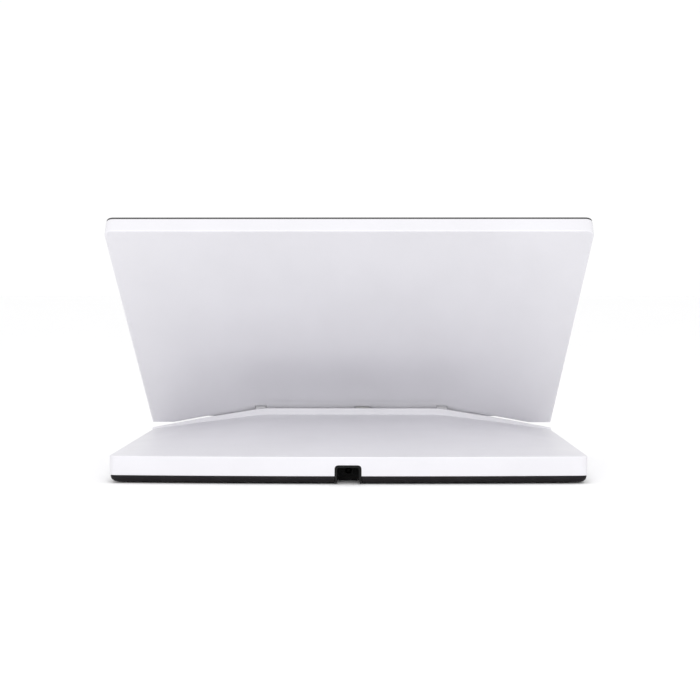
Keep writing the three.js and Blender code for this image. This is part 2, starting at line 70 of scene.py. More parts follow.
# ---------------------------------------------------------------- sizes, in millimetres
def box_mm(node):
    low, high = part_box(node)
    return np.array(low) / MM, np.array(high) / MM


def middle(box):
    return (box[0] + box[1]) / 2


joints = {joint["name"]: joint for joint in frame["joints"]}
PIVOT = np.array(joints["screen_tilt"]["pos_m"]) / MM
TILT = math.radians(41)
COVER_LOW, COVER_HIGH = box_mm("base_top_cover")
TRAY_LOW, TRAY_HIGH = box_mm("base_tray")

BASE = {"rear_half": 165.0, "crest_half": 160.0, "length": 211.0, "bow": 5.6, "rim": 19.1, "shelf": 15.8,
        "rear_corner": 6.0, "front_corner": 12.0, "split": COVER_LOW[2], "front": COVER_LOW[1],
        "rear_wall": COVER_HIGH[1], "rear": COVER_HIGH[1] - 5.6, "edge": 0.8}
CREST = {"rise": 13.5, "crease_rise": 7.2, "plateau": 70.0, "crease": 115.0, "lip": 5.0, "lip_end": 1.6,
         "lip_width": 3.0, "softness": 7.0}
HEAD = {"bottom_half": 159.4, "top_half": 172.8, "bottom": -21.6, "top": 209.4, "top_corner": 6.0,
        "bottom_corner": 2.5, "back": -7.5, "rim": 4.1, "glass_back": 4.4, "glass_front": 5.6,
        "chin_top": 27.4, "bulge": 2.2, "scoop": 3.2, "low_edge": -4.2, "heel": 19.4, "relief": 1.3,
        "wall": 2.0, "edge": 1.1}
PICTURE = {"half": 147.0, "low": 33.8, "high": 199.2}
HINGE = {"x": 72.0, "pocket_half": 13.8, "pocket_low": -6.6, "pocket_top": 4.4, "pocket_back": 1.2,
         "slot_half": 4.6, "slot_top": 1.1, "bore": 4.01, "bore_half": 13.77}
CABLE_WAY = {"half": 18.0, "top": 4.2, "back": 2.4, "x0": -16.0, "x1": -2.0, "slot_top": 0.2}
KEY = {"radius": 8.6, "flange": 9.8, "floor": 3.0, "top": 6.4, "v": 14.0, "pitch": 26.0}
RECESS = {"half": 9.3, "top": 13.3, "depth": 24.0, "corner": 3.0}
WINDOW = {"y": -45.0, "half_x": 44.0, "half_y": 35.0}
BAY = {"x0": 52.0, "x1": 144.0, "half_y": 58.0}
SCREW = {"head": 2.9, "shank": 1.15, "head_hole": 3.2, "shank_hole": 1.6, "body_length": 10.5,
         "door_length": 4.4}
FOOT = {"radius": 8.0, "thick": 1.6, "hole": 8.3, "hole_depth": 1.8}
THROUGH = 9.0
VIEW = {"azimuth": 180.68, "elevation": 2.51, "distance": 1.355, "lens": 93.4}

TO_METRES = Matrix.Scale(MM, 4)
ON_HEAD = Matrix.Translation(Vector(PIVOT * MM)) @ Matrix.Rotation(TILT, 4, "X") @ TO_METRES
BACK_TO_FRONT = Matrix.Diagonal((1, 1, -1, 1))


# ---------------------------------------------------------------- shape functions
def mix(a, b, t):
    return a + (b - a) * t


def unit(t):
    return np.clip(t, 0.0, 1.0)


def smooth(t):
    return unit(t) ** 2 * (3 - 2 * unit(t))


def softened(function, x, room):
    """The mean of a function over a short stretch of x, which rounds its creases."""
    reach = np.minimum(CREST["softness"], np.maximum(room, 0))
    return sum(function(x + step * reach) for step in np.linspace(-1, 1, 11)) / 11


def base_half(y):
    return mix(BASE["rear_half"], BASE["crest_half"], (BASE["rear"] - y) / BASE["length"])


def crease_profile(x, t, half):
    """Height above the rim across the base, a share t of the way from the rear edge to the crest."""
    a = np.abs(x)
    crease = mix(BASE["rear_half"], CREST["crease"], t ** 0.8)
    level = CREST["plateau"] * t ** 0.2
    outer = CREST["crease_rise"] * unit((half - a) / np.maximum(half - crease, 0.01))
    inner = mix(CREST["rise"], CREST["crease_rise"], unit((a - level) / np.maximum(crease - level, 0.01)))
    return t * np.where(a > crease, outer, inner)


def crest_rise(x):
    half = BASE["crest_half"]
    return softened(lambda at: crease_profile(at, np.ones_like(at), half), x, half - np.abs(x))


def lip_top(x):
    rise = crest_rise(x)
    return BASE["rim"] + rise + mix(CREST["lip_end"], CREST["lip"], rise / CREST["rise"])


def back_plane_y(z):
    """Where the flat of the screen's back is at a height z, in the rest position."""
    back_y = PIVOT[1] - HEAD["back"] * math.sin(TILT)
    back_z = PIVOT[2] + HEAD["back"] * math.cos(TILT)
    return back_y + (z - back_z) / math.tan(TILT)


def crest_face(x):
    return back_plane_y(lip_top(x)) + 2 * GAP


def crest_heel(x):
    return crest_face(x) + CREST["lip_width"]


def base_top(x, y):
    t = unit((BASE["rear"] - y) / (BASE["rear"] - crest_heel(x)))
    half = base_half(y)
    return BASE["rim"] + softened(lambda at: crease_profile(at, t, half), x, half - np.abs(x))


def head_half(v):
    return mix(HEAD["bottom_half"], HEAD["top_half"], (v - HEAD["bottom"]) / (HEAD["top"] - HEAD["bottom"]))


def back_face(x, v):
    """The screen's back: swollen in the middle, and scooped low down where the crest comes in."""
    from_top = smooth((HEAD["top"] - v) / 105)
    from_side = smooth((head_half(v) - np.abs(x)) / 78)
    swell = HEAD["bulge"] * np.minimum(from_top, from_side) * smooth((v - 15) / 70)
    across = 1 - smooth((np.abs(x) - CREST["plateau"]) / 26)
    up = (0.69 + 0.31 * smooth((v + 2) / 8)) * (1 - smooth((v - 13) / 60))
    return HEAD["back"] - swell + HEAD["scoop"] * across * up


def hidden_line(x):
    """Below this line the crest hides the screen's back, which is cut away to clear it."""
    lip = (lip_top(x) - PIVOT[2] - HEAD["back"] * math.cos(TILT)) / math.sin(TILT)
    return np.minimum(HEAD["low_edge"], lip + 5 * GAP)


# ---------------------------------------------------------------- mesh building
def face_outwards(piece):
    shape = bmesh.new()
    shape.from_mesh(piece.data)
    bmesh.ops.recalc_face_normals(shape, faces=shape.faces)
    shape.to_mesh(piece.data)
    shape.free()


def make_piece(name, vertices, faces):
    mesh = bpy.data.meshes.new(name)
    mesh.from_pydata(np.asarray(vertices, float).tolist(), [], faces)
    piece = bpy.data.objects.new(name, mesh)
    bpy.context.scene.collection.objects.link(piece)
    face_outwards(piece)
    return piece


def bands(rings):
    """Quads between each ring of vertex numbers and the next."""
    faces = []
    for lower, upper in zip(rings, rings[1:]):
        for i in range(len(lower)):
            j = (i + 1) % len(lower)
            faces.append((lower[i], lower[j], upper[j], upper[i]))
    return faces


def ring_solid(name, loops):
    """A closed solid through a stack of closed loops of points, capped at both ends."""
    count = len(loops[0])
    rings = [list(range(k * count, (k + 1) * count)) for k in range(len(loops))]
    faces = bands(rings) + [tuple(rings[0][::-1]), tuple(rings[-1])]
    return make_piece(name, np.concatenate(loops), faces)


def straight(start, end, count):
    t = np.linspace(0, 1, count, endpoint=False)[:, None]
    return mix(np.array(start), np.array(end), t)


def curve(start, control, end, count):
    t = np.linspace(0, 1, count, endpoint=False)[:, None]
    return (1 - t) ** 2 * np.array(start) + 2 * t * (1 - t) * np.array(control) + t ** 2 * np.array(end)


def plate_outline(halves, span, corners, bow=0.0):
    """A four-sided plate with rounded corners, as a closed loop; its far edge may be bowed."""
    (half0, half1), (y0, y1), (r0, r1) = halves, span, corners
    slope = (half1 - half0) / (y1 - y0)
    right = np.concatenate([
        straight((0, y0), (half0 - r0, y0), 30),
        curve((half0 - r0, y0), (half0, y0), (half0 + slope * r0, y0 + r0), 10),
        straight((half0 + slope * r0, y0 + r0), (half1 - slope * r1, y1 - r1), 30),
        curve((half1 - slope * r1, y1 - r1), (half1, y1), (half1 - r1, y1), 10),
        curve((half1 - r1, y1), (half1 / 2, y1 + bow), (0, y1 + bow), 40),
    ])
    left = right[:0:-1] * (-1, 1)
    return np.concatenate([right, [(0, y1 + bow)], left])


def raised(outline, height):
    return np.column_stack([outline, np.full(len(outline), height)])


def rounded_plate(name, outline_at, z0, z1, edge=0.3):
    """A plate with softened edges; outline_at gives its outline for an inset."""
    turns = [(1 - math.sin(angle), 1 - math.cos(angle)) for angle in np.radians([0, 30, 60, 90])]
    loops = [raised(outline_at(inset * edge), z0 + drop * edge) for inset, drop in turns]
    loops += [raised(outline_at(inset * edge), z1 - drop * edge) for inset, drop in turns[::-1]]
    return ring_solid(name, loops)


def box_outline(x0, x1, y0, y1, corner):
    centre, middle = (x0 + x1) / 2, (y0 + y1) / 2
    half, reach = (x1 - x0) / 2, (y1 - y0) / 2

    def at(inset):
        radius = max(corner - inset, 0.2)
        loop = plate_outline((half - inset,) * 2, (inset - reach, reach - inset), (radius, radius))
        return loop + (centre, middle)
    return at


def block_of(x0, x1, y0, y1, z0, z1):
    """A plain box, used only to cut with."""
    corners = [(x, y, z) for x in (x0, x1) for y in (y0, y1) for z in (z0, z1)]
    faces = [(0, 1, 3, 2), (4, 6, 7, 5), (0, 4, 5, 1), (2, 3, 7, 6), (0, 2, 6, 4), (1, 5, 7, 3)]
    return make_piece("cutter", corners, faces)


def lathe(name, profile, segments=64):
    """A turned solid about the Z axis; its profile starts and ends on the axis."""
    angles = np.linspace(0, 2 * math.pi, segments, endpoint=False)
    around = np.column_stack([np.cos(angles), np.sin(angles)])
    rings = [np.column_stack([radius * around, np.full(segments, z)]) for radius, z in profile[1:-1]]
    vertices = np.concatenate(rings + [[(0, 0, profile[0][1]), (0, 0, profile[-1][1])]])
    numbers = [list(range(k * segments, (k + 1) * segments)) for k in range(len(rings))]
    first, last = len(vertices) - 2, len(vertices) - 1
    faces = bands(numbers)
    for i in range(segments):
        j = (i + 1) % segments
        faces += [(first, numbers[0][j], numbers[0][i]), (last, numbers[-1][i], numbers[-1][j])]
    return make_piece(name, vertices, faces)


def round_cutter(centre, radius, z0, z1):
    tool = lathe("cutter", [(0, z0), (radius, z0), (radius, z1), (0, z1)], 48)
    tool.data.transform(Matrix.Translation((centre[0], centre[1], 0)))
    return tool


def prism_across(profile, half_length):
    """A bar along X with the given profile in y and z, used to cut with."""
    ends = [[(x, y, z) for y, z in profile] for x in (-half_length, half_length)]
    return ring_solid("cutter", [np.array(end, float) for end in ends])


def bake(piece):
    """Turn the piece's modifiers into real geometry."""
    evaluated = piece.evaluated_get(bpy.context.evaluated_depsgraph_get())
    mesh = bpy.data.meshes.new_from_object(evaluated)
    piece.modifiers.clear()
    piece.data = mesh


def join(piece, other):
    """Add another closed shape to a piece's mesh."""
    shape = bmesh.new()
    shape.from_mesh(piece.data)
    shape.from_mesh(other.data)
    shape.to_mesh(piece.data)
    shape.free()
    bpy.data.objects.remove(other)


def cut(piece, *tools):
    for tool in tools:
        modifier = piece.modifiers.new("cut", "BOOLEAN")
        modifier.operation = "DIFFERENCE"
        modifier.solver = "EXACT"
        modifier.object = tool
        bake(piece)
        bpy.data.objects.remove(tool)
        if not piece.data.vertices:
            raise RuntimeError(f"a cut left nothing of {piece.name}")


def place(piece, matrix):
    piece.data.transform(matrix)
    if matrix.determinant() < 0:
        piece.data.flip_normals()


def shade(piece, angle=32):
    """Smooth shading that keeps real edges crisp."""
    piece.data.shade_smooth()
    piece.data.set_sharp_from_angle(angle=math.radians(angle))
    modifier = piece.modifiers.new("weighted_normals", "WEIGHTED_NORMAL")
    modifier.keep_sharp = True


def settle(piece, matrix, material, body, slot, *nodes):
    """Put a finished piece in its place on a body, standing for its CAD nodes."""
    place(piece, matrix)
    shade(piece)
    if not piece.data.materials:
        piece.data.materials.append(None)
    piece.data.materials[0] = material
    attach(piece, body)
    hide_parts(*nodes)
    return piece


# ---------------------------------------------------------------- surfaces drawn row by row
def edge_curve(half, y, corner, inward, bow=0.0):
    """The far or near edge of a plate, as y for a place x, with a bow and rounded corners."""
    t = np.linspace(1, 0, 60)
    bow_x = (1 - t) ** 2 * (half - corner) + t * (1 - t) * half
    bow_y = bow * (1 - (1 - t) ** 2)

    def at(x):
        into_corner = np.sqrt(unit((half - np.abs(x)) / corner))
        return y + np.interp(np.abs(x), bow_x, bow_y) + inward * corner * (1 - into_corner) ** 2
    return at


def column_places(half, corner, middle):
    """Places across a plate as shares of its half width, closer together round the corners."""
    inner = np.linspace(-1, 1, middle) * (half - corner)
    ends = half - corner * np.linspace(1, 0, 13)[1:] ** 2
    return np.concatenate([-ends[::-1], inner, ends]) / half


def surface_solid(name, rows, floor, edge):
    """A closed solid under a surface of rows, with its outer edge rounded and its foot level."""
    surface = np.stack(rows)
    numbers = np.arange(surface.shape[0] * surface.shape[1]).reshape(surface.shape[:2])
    loop = np.concatenate([numbers[0], numbers[1:, -1], numbers[-1, -2::-1], numbers[-2:0:-1, 0]])
    rim = surface.reshape(-1, 3)[loop]
    along = np.roll(rim, -1, axis=0) - np.roll(rim, 1, axis=0)
    outward = np.column_stack([-along[:, 1], along[:, 0]])
    outward /= np.linalg.norm(outward, axis=1)[:, None]

    def ring(offset, heights):
        return np.column_stack([rim[:, :2] + outward * offset, heights])

    skirt = [ring(edge * math.sin(angle), rim[:, 2] - edge * (1 - math.cos(angle)))
             for angle in np.radians([15, 30, 45, 60, 75, 90])]
    skirt += [ring(edge, rim[:, 2] - edge - 0.4), ring(edge, np.full(len(rim), floor + 0.7)),
              ring(edge, np.full(len(rim), floor + 0.25)), ring(edge - 0.25, np.full(len(rim), floor))]
    count = len(rim)
    starts = [numbers.size + k * count for k in range(len(skirt))]
    rings = [loop.tolist()] + [list(range(start, start + count)) for start in starts]
    quads = np.stack([numbers[:-1, :-1], numbers[:-1, 1:], numbers[1:, 1:], numbers[1:, :-1]], -1)
    faces = [tuple(quad) for quad in quads.reshape(-1, 4).tolist()]
    faces += bands(rings) + [tuple(rings[-1])]
    return make_piece(name, np.concatenate([surface.reshape(-1, 3)] + skirt), faces)


def arc(radius, start, end):
    """Points of a small arc from one angle to another, in degrees."""
    angles = np.radians(np.linspace(start, end, 5))
    return [(radius * math.cos(angle), radius * math.sin(angle)) for angle in angles]


def lip_rows(x):
    """The lip's section at each x: up its heel, over its top and down its face to the shelf."""
    heel, face, top = crest_heel(x), crest_face(x), lip_top(x)
    shelf = np.full_like(x, BASE["shelf"])
    low = BASE["rim"] + crest_rise(x)
    lean, foot, round_off = 0.1, 0.8, 0.7
    rows = [(heel + foot + dy, low + foot + dz) for dy, dz in arc(foot, -90, -180)]
    rows += [(heel - lean - round_off + dy, top - round_off + dz) for dy, dz in arc(round_off, 0, 90)]
    rows += [(face + round_off + dy, top - round_off + dz) for dy, dz in arc(round_off, 90, 180)]
    rows += [(face - lean - 0.5 + dy, shelf + 0.5 + dz) for dy, dz in arc(0.5, 0, -90)]
    return rows


def base_surface(inset, sink, lip):
    """Rows over the base from its rear edge to its front edge."""
    far_half = BASE["rear_half"] - inset
    near_half = base_half(BASE["front"]) - inset
    far = edge_curve(far_half, BASE["rear"] - inset, BASE["rear_corner"] - inset, -1, BASE["bow"])
    near = edge_curve(near_half, BASE["front"] + inset, BASE["front_corner"] - inset, 1)
    across = column_places(far_half, BASE["rear_corner"] - inset, 151)
    crest_x = across * (BASE["crest_half"] - inset)
    hump_end = 1.4 if lip else 0.0
    rows = []
    for t in np.linspace(0, 1, 64) ** 1.25:
        x = across * mix(far_half, BASE["crest_half"] - inset, t)
        front = crest_heel(x) + hump_end if lip else crest_face(x) + inset + 0.4
        y = mix(far(across * far_half), front, t)
        rows.append(np.column_stack([x, y, base_top(x, y) - sink]))
    if lip:
        rows += [np.column_stack([crest_x, y, z]) for y, z in lip_rows(crest_x)]
    shelf_start = rows[-1][:, 1] - 0.1
    for t in np.linspace(0, 1, 14) ** 0.7:
        x = across * mix(BASE["crest_half"] - inset, near_half, t)
        y = mix(shelf_start, near(across * near_half), t)
        rows.append(np.column_stack([x, y, np.full(len(x), BASE["shelf"] - sink)]))
    return rows


def recess_cutter():
    outline = box_outline(-RECESS["half"], RECESS["half"], -20, RECESS["top"], RECESS["corner"])(0)
    cutter = ring_solid("cutter", [raised(outline, height) for height in (0, 60)])
    cutter.data.transform(Matrix.Translation((0, BASE["rear_wall"] - RECESS["depth"] + 60, 0))
                          @ Matrix.Rotation(math.pi / 2, 4, "X"))
    return cutter


def shelf_slot(x0, x1, y0, y1):
    """A slot through the base's shelf, with y measured from the hinge."""
    return block_of(x0, x1, PIVOT[1] + y0, PIVOT[1] + y1, BASE["shelf"] - 4, BASE["shelf"] + 1)


def base_shell():
    shell = surface_solid("base_shell", base_surface(BASE["edge"], 0.0, True), BASE["split"], BASE["edge"])
    hollow = surface_solid("cutter", base_surface(WALL, WALL, False), BASE["split"] - 3, 0.3)
    x, half = HINGE["x"], HINGE["slot_half"]
    arm_slots = [shelf_slot(side * x - half, side * x + half, -4.2, 1.3) for side in SIDES.values()]
    cable_slot = shelf_slot(-17, -2, -2, 3)
    cut(shell, hollow, *arm_slots, cable_slot, recess_cutter())
    return shell


def base_outline(inset):
    return plate_outline(
        (base_half(BASE["front"]) - inset, BASE["rear_half"] - inset),
        (BASE["front"] + inset, BASE["rear"] - inset),
        (BASE["front_corner"] - inset, max(BASE["rear_corner"] - inset, 1)), BASE["bow"])


def tray():
    bottom, top = TRAY_LOW[2], TRAY_HIGH[2]
    profile = [(5.8, 3.0), (5.8, top - 0.3), (5.5, top), (0.7, top), (0.48, top - 0.1), (0.4, top - 0.3),
               (0.45, 4.3), (0.7, 3.5), (1.15, 2.75), (1.8, 2.1), (2.6, 1.55), (3.4, 1.2), (4.3, bottom)]
    body = ring_solid("base_lower_tray", [raised(base_outline(inset), z) for inset, z in profile])
    screws = [box_mm(f"body_screw_{i}") for i in range(1, 7)]
    glides = [box_mm(f"glide_{i}") for i in range(1, 5)]
    tools = [round_cutter(middle(spot), SCREW["head_hole"], 0, 2.5) for spot in screws]
    tools += [round_cutter(middle(spot), SCREW["shank_hole"], 0, THROUGH) for spot in screws]
    tools += [round_cutter(middle(spot), FOOT["hole"], 0, FOOT["hole_depth"]) for spot in glides]
    tools.append(block_of(-WINDOW["half_x"], WINDOW["half_x"], WINDOW["y"] - WINDOW["half_y"],
                          WINDOW["y"] + WINDOW["half_y"], 0, THROUGH))
    tools.append(block_of(BAY["x0"], BAY["x1"], -BAY["half_y"], BAY["half_y"], 0, THROUGH))
    cut(body, *tools, recess_cutter())
    return body


# ---------------------------------------------------------------- screen housing
def back_surface(inset, sink):
    """Rows over the screen's back from its top edge down, as height behind the hinge plane."""
    far_half, near_half = HEAD["top_half"] - inset, HEAD["bottom_half"] - inset
    far_v, near_v = HEAD["top"] - inset, HEAD["bottom"] + inset
    far = edge_curve(far_half, far_v, HEAD["top_corner"] - inset, -1)
    near = edge_curve(near_half, near_v, max(HEAD["bottom_corner"] - inset, 0.6), 1)
    across = column_places(far_half, HEAD["top_corner"] - inset, 141)
    heights = np.concatenate([np.linspace(far_v, 12, 84), np.linspace(11, -6, 30),
                              np.linspace(-7, near_v, 8)])
    rows = []
    for t in (far_v - heights) / (far_v - near_v):
        x = across * mix(far_half, near_half, t)
        v = mix(far(across * far_half), near(across * near_half), t)
        rows.append(np.column_stack([x, v, -back_face(x, v) - sink]))
    return rows


def hidden_cutter(raise_by, low, high):
    x = np.linspace(-175, 175, 141)
    line = np.column_stack([x, hidden_line(x) + raise_by])
    outline = np.concatenate([[(-175, -60), (175, -60)], line[::-1]])
    return ring_solid("cutter", [raised(outline, z) for z in (low, high)])


def heel_cutter():
    """What is left outside the heel's radius about the hinge."""
    radius = HEAD["heel"]
    angles = np.linspace(math.pi, math.acos(-5 / radius), 40)
    profile = [(radius * math.cos(a), radius * math.sin(a)) for a in angles]
    return prism_across(profile + [(-5, 30), (-60, 30), (-60, 0)], 200)


def hinge_bore(x):
    """The round space in which one hinge's knuckles turn."""
    radius, half = HINGE["bore"], HINGE["bore_half"]
    angles = np.linspace(0, 2 * math.pi, 46, endpoint=False) + 0.03
    bore = prism_across([(radius * math.cos(a), radius * math.sin(a)) for a in angles], half)
    bore.data.transform(Matrix.Translation((x, 0, 0)))
    return bore


def screen_pockets():
    """Room in the screen for each hinge and its arm, and for the display cable."""
    low, inside, outside = HINGE["pocket_low"], -6, 12
    pockets = []
    for side in SIDES.values():
        x, half, slot = side * HINGE["x"], HINGE["pocket_half"], HINGE["slot_half"]
        pockets.append(block_of(x - half, x + half, low, HINGE["pocket_top"], inside, HINGE["pocket_back"]))
        pockets.append(hinge_bore(x))
        pockets.append(block_of(x - slot, x + slot, low, HINGE["slot_top"], inside, outside))
    half = CABLE_WAY["half"]
    pockets.append(block_of(-half, half, low, CABLE_WAY["top"], inside, CABLE_WAY["back"]))
    pockets.append(block_of(CABLE_WAY["x0"], CABLE_WAY["x1"], low, CABLE_WAY["slot_top"], 0, outside))
    return pockets


def screen_shell():
    shell = surface_solid("screen_shell", back_surface(HEAD["edge"], 0.0), -HEAD["rim"], HEAD["edge"])
    hollow = surface_solid("cutter", back_surface(WALL, HEAD["wall"]), -HEAD["rim"] - 1, 0.3)
    cut(shell, hidden_cutter(0, -HEAD["relief"], 25), heel_cutter())
    cut(hollow, hidden_cutter(HEAD["wall"], -3.6, 25))
    cut(shell, hollow, *screen_pockets())
    return shell


def head_outline(v0, v1, bottom_corner, top_corner):
    def at(inset):
        return plate_outline((head_half(v0) - inset, head_half(v1) - inset), (v0 + inset, v1 - inset),
                             (max(bottom_corner - inset, 0.3), max(top_corner - inset, 0.3)))
    return at


def cover_glass():
    """The glass over the whole screen: a black border round the display's clear area."""
    outline_at = head_outline(HEAD["chin_top"] + GAP, HEAD["top"], HEAD["bottom_corner"], HEAD["top_corner"])
    picture = plate_outline((PICTURE["half"],) * 2, (PICTURE["low"], PICTURE["high"]), (0.5, 0.5))
    back, front, edge = HEAD["glass_back"], HEAD["glass_front"], 0.35
    loops = [raised(outline_at(edge), back), raised(outline_at(0.0), back + edge)]
    loops += [raised(outline_at(edge * (1 - math.cos(a))), front - edge * (1 - math.sin(a)))
              for a in np.radians([0, 30, 60, 90])]
    loops.append(raised(picture, front))
    glass = ring_solid("cover_glass", loops)
    for face in glass.data.polygons:
        face.material_index = 1 if len(face.vertices) > 4 and face.center.z > front - 0.01 else 0
    return glass


def control_panel():
    outline_at = head_outline(HEAD["bottom"], HEAD["chin_top"], HEAD["bottom_corner"], 0.8)
    panel = rounded_plate("control_strip", outline_at, HEAD["glass_back"], HEAD["glass_front"], 0.35)
    for i in range(-2, 3):
        cut(panel, round_cutter((i * KEY["pitch"], KEY["v"]), KEY["radius"] + GAP, 0, 9))
    return panel


def ring_mark(x, y, radius, width):
    """A small raised ring."""
    loops, count = [], 40
    angles = np.linspace(0, 2 * math.pi, count, endpoint=False)
    for dr, dz in arc(width / 2, 0, 360)[:-1]:
        spot = radius + dr
        flat = np.column_stack([x + spot * np.cos(angles), y + spot * np.sin(angles)])
        loops.append(raised(flat, dz))
    rings = [list(range(k * count, (k + 1) * count)) for k in range(len(loops))]
    return make_piece("mark", np.concatenate(loops), bands(rings + rings[:1]))


def bar_mark(x, y, half_x, half_y):
    outline_at = box_outline(x - half_x, x + half_x, y - half_y, y + half_y, 0.45)
    return rounded_plate("mark", outline_at, -0.4, 0.3, 0.25)


def key_marks(name):
    """Raised marks that tell the keys apart by touch."""
    if name == "power":
        return [ring_mark(0, 0, 2.6, 0.6), bar_mark(0, 2.2, 0.4, 1.5)]
    if name == "zoom_out":
        return [bar_mark(0, 0, 3, 0.45)]
    if name == "zoom_in":
        return [bar_mark(0, 0, 3, 0.45), bar_mark(0, 0, 0.45, 3)]
    if name == "colour_mode":
        return [ring_mark(0, 0, 1.1, 0.9)]
    return [bar_mark(0, y, 2.6, 0.4) for y in (-2, 0, 2)]


def key_cap(name, place_x):
    radius, top = KEY["radius"], KEY["top"]
    dish = [(share * (radius - 2), top - 0.5 * (1 - share ** 2)) for share in np.linspace(1, 0, 8)]
    shoulder = [(radius - 1.1 + dy, top - 1.1 + dz) for dy, dz in arc(1.1, 0, 90)]
    floor, flange, step = KEY["floor"], KEY["flange"], HEAD["rim"] - 0.05
    profile = [(0, floor + 1.6), (5, floor + 1.6), (5, floor), (flange, floor), (flange, step),
               (radius, step), *shoulder, *dish]
    cap = lathe(f"{name}_cap", profile)
    for mark in key_marks(name):
        mark.data.transform(Matrix.Translation((0, 0, top - 0.42)))
        join(cap, mark)
    cap.data.transform(Matrix.Translation((place_x, KEY["v"], 0)))
    return cap


# ---------------------------------------------------------------- small parts
def cross_screw(name, head_radius, shank_radius, length):
    """A countersunk screw, head down, with a cross recess."""
    profile = [(0, 0), (head_radius - 0.25, 0), (head_radius, 0.2), (head_radius, 0.5), (shank_radius, 1.5),
               (shank_radius, length - 0.4), (shank_radius - 0.4, length), (0, length)]
    screw = lathe(name, profile, 40)
    cut(screw, block_of(-1.5, 1.5, -0.28, 0.28, -1, 0.8), block_of(-0.28, 0.28, -1.5, 1.5, -1, 0.8))
    return screw


def glide(name):
    """A rubber foot with a rounded rim and shallow rings moulded into its sole."""
    radius, thick = FOOT["radius"], FOOT["thick"]
    sole = []
    for r in np.arange(1.0, 7.0, 1.2):
        sole += [(r, 0.0), (r + 0.15, 0.25), (r + 0.45, 0.25), (r + 0.6, 0.0)]
    rim = [(radius - 0.5, 0), (radius - 0.15, 0.12), (radius, 0.45), (radius, thick)]
    profile = [(0, 0), *sole, *rim, (0, thick)]
    return lathe(name, profile)


def battery_door():
    """The door, with a row of finger grooves at one end."""
    low, high = box_mm("battery_door")
    outline_at = box_outline(low[0], high[0], low[1], high[1], 0.8)
    door = rounded_plate("battery_bay_door", outline_at, low[2], high[2])
    centre = (low[0] + high[0]) / 2
    grooves = [block_of(centre - 16, centre + 16, y - 0.5, y + 0.5, 0, low[2] + 0.6)
               for y in np.arange(low[1] + 7, low[1] + 18, 2.2)]
    screws = [middle(box_mm(f"battery_door_screw_{i}")) for i in (1, 2)]
    cut(door, *grooves, *[round_cutter(spot, SCREW["head_hole"], 0, 2.4) for spot in screws],
        *[round_cutter(spot, SCREW["shank_hole"], 0, THROUGH) for spot in screws])
    return door


def reading_window():
    low, high = box_mm("reading_window")
    outline_at = box_outline(low[0], high[0], low[1], high[1], 0.6)
    return rounded_plate("reading_window_pane", outline_at, low[2], high[2])


# ---------------------------------------------------------------- materials
def add(tree, kind, inputs=None, **settings):
    made = tree.nodes.new(kind)
    for key, value in settings.items():
        setattr(made, key, value)
    for key, value in (inputs or {}).items():
        if isinstance(value, bpy.types.NodeSocket):
            tree.links.new(value, made.inputs[key])
        else:
            made.inputs[key].default_value = value
    return made


def start_material(name, roughness, metallic=0.0, **sockets):
    material = bpy.data.materials.new(name)
    material.use_nodes = True
    tree = material.node_tree
    shader = tree.nodes["Principled BSDF"]
    shader.inputs["Roughness"].default_value = roughness
    shader.inputs["Metallic"].default_value = metallic
    for key, value in sockets.items():
        shader.inputs[key.replace("_", " ")].default_value = value
    return material, tree, shader


def object_place(tree):
    return add(tree, "ShaderNodeTexCoord").outputs["Object"]


def stretched(tree, place, scale):
    return add(tree, "ShaderNodeMapping", {"Vector": place, "Scale": scale}).outputs[0]


def noise(tree, place, size_mm, detail=2.0):
    inputs = {"Vector": place, "Scale": 1 / (size_mm * MM), "Detail": detail}
    return add(tree, "ShaderNodeTexNoise", inputs).outputs[0]


def ranged(tree, value, low, high, to_low, to_high):
    inputs = {0: value, 1: low, 2: high, 3: to_low, 4: to_high}
    return add(tree, "ShaderNodeMapRange", inputs).outputs[0]


def two_colours(tree, factor, first, second):
    inputs = {0: factor, 6: first if isinstance(first, bpy.types.NodeSocket) else (*first, 1),
              7: second if isinstance(second, bpy.types.NodeSocket) else (*second, 1)}
    return add(tree, "ShaderNodeMix", inputs, data_type="RGBA").outputs[2]


def scaled(colour, amount):
    return tuple(min(1.0, channel * amount) for channel in colour)


def edge_mask(tree, radius_mm):
    """One along convex edges and zero on flats, from how a rounded normal leaves the true one."""
    rounded = add(tree, "ShaderNodeBevel", {"Radius": radius_mm * MM}, samples=4).outputs[0]
    true = add(tree, "ShaderNodeNewGeometry").outputs["True Normal"]
    alike = add(tree, "ShaderNodeVectorMath", {0: rounded, 1: true}, operation="DOT_PRODUCT").outputs["Value"]
    return ranged(tree, alike, 0.995, 0.85, 0.0, 1.0)


def bump(tree, shader, *layers):
    """Stack height layers, each given as (height, strength, depth in mm), onto the normal."""
    normal = None
    for height, strength, depth_mm in layers:
        inputs = {"Height": height, "Strength": strength, "Distance": depth_mm * MM}
        if normal:
            inputs["Normal"] = normal
        normal = add(tree, "ShaderNodeBump", inputs).outputs[0]
    tree.links.new(normal, shader.inputs["Normal"])


def scratches(tree, place, density):
    """A sparse set of fine hairline scratches."""
    lines = noise(tree, stretched(tree, place, (1, 14, 3)), 9, 1.0)
    broken = noise(tree, place, 16, 2.0)
    near = add(tree, "ShaderNodeMath", {0: lines, 1: 0.5, 2: 0.0035}, operation="COMPARE").outputs[0]
    there = ranged(tree, broken, 0.62 - density, 0.66 - density, 0.0, 1.0)
    return add(tree, "ShaderNodeMath", {0: near, 1: there}, operation="MULTIPLY").outputs[0]


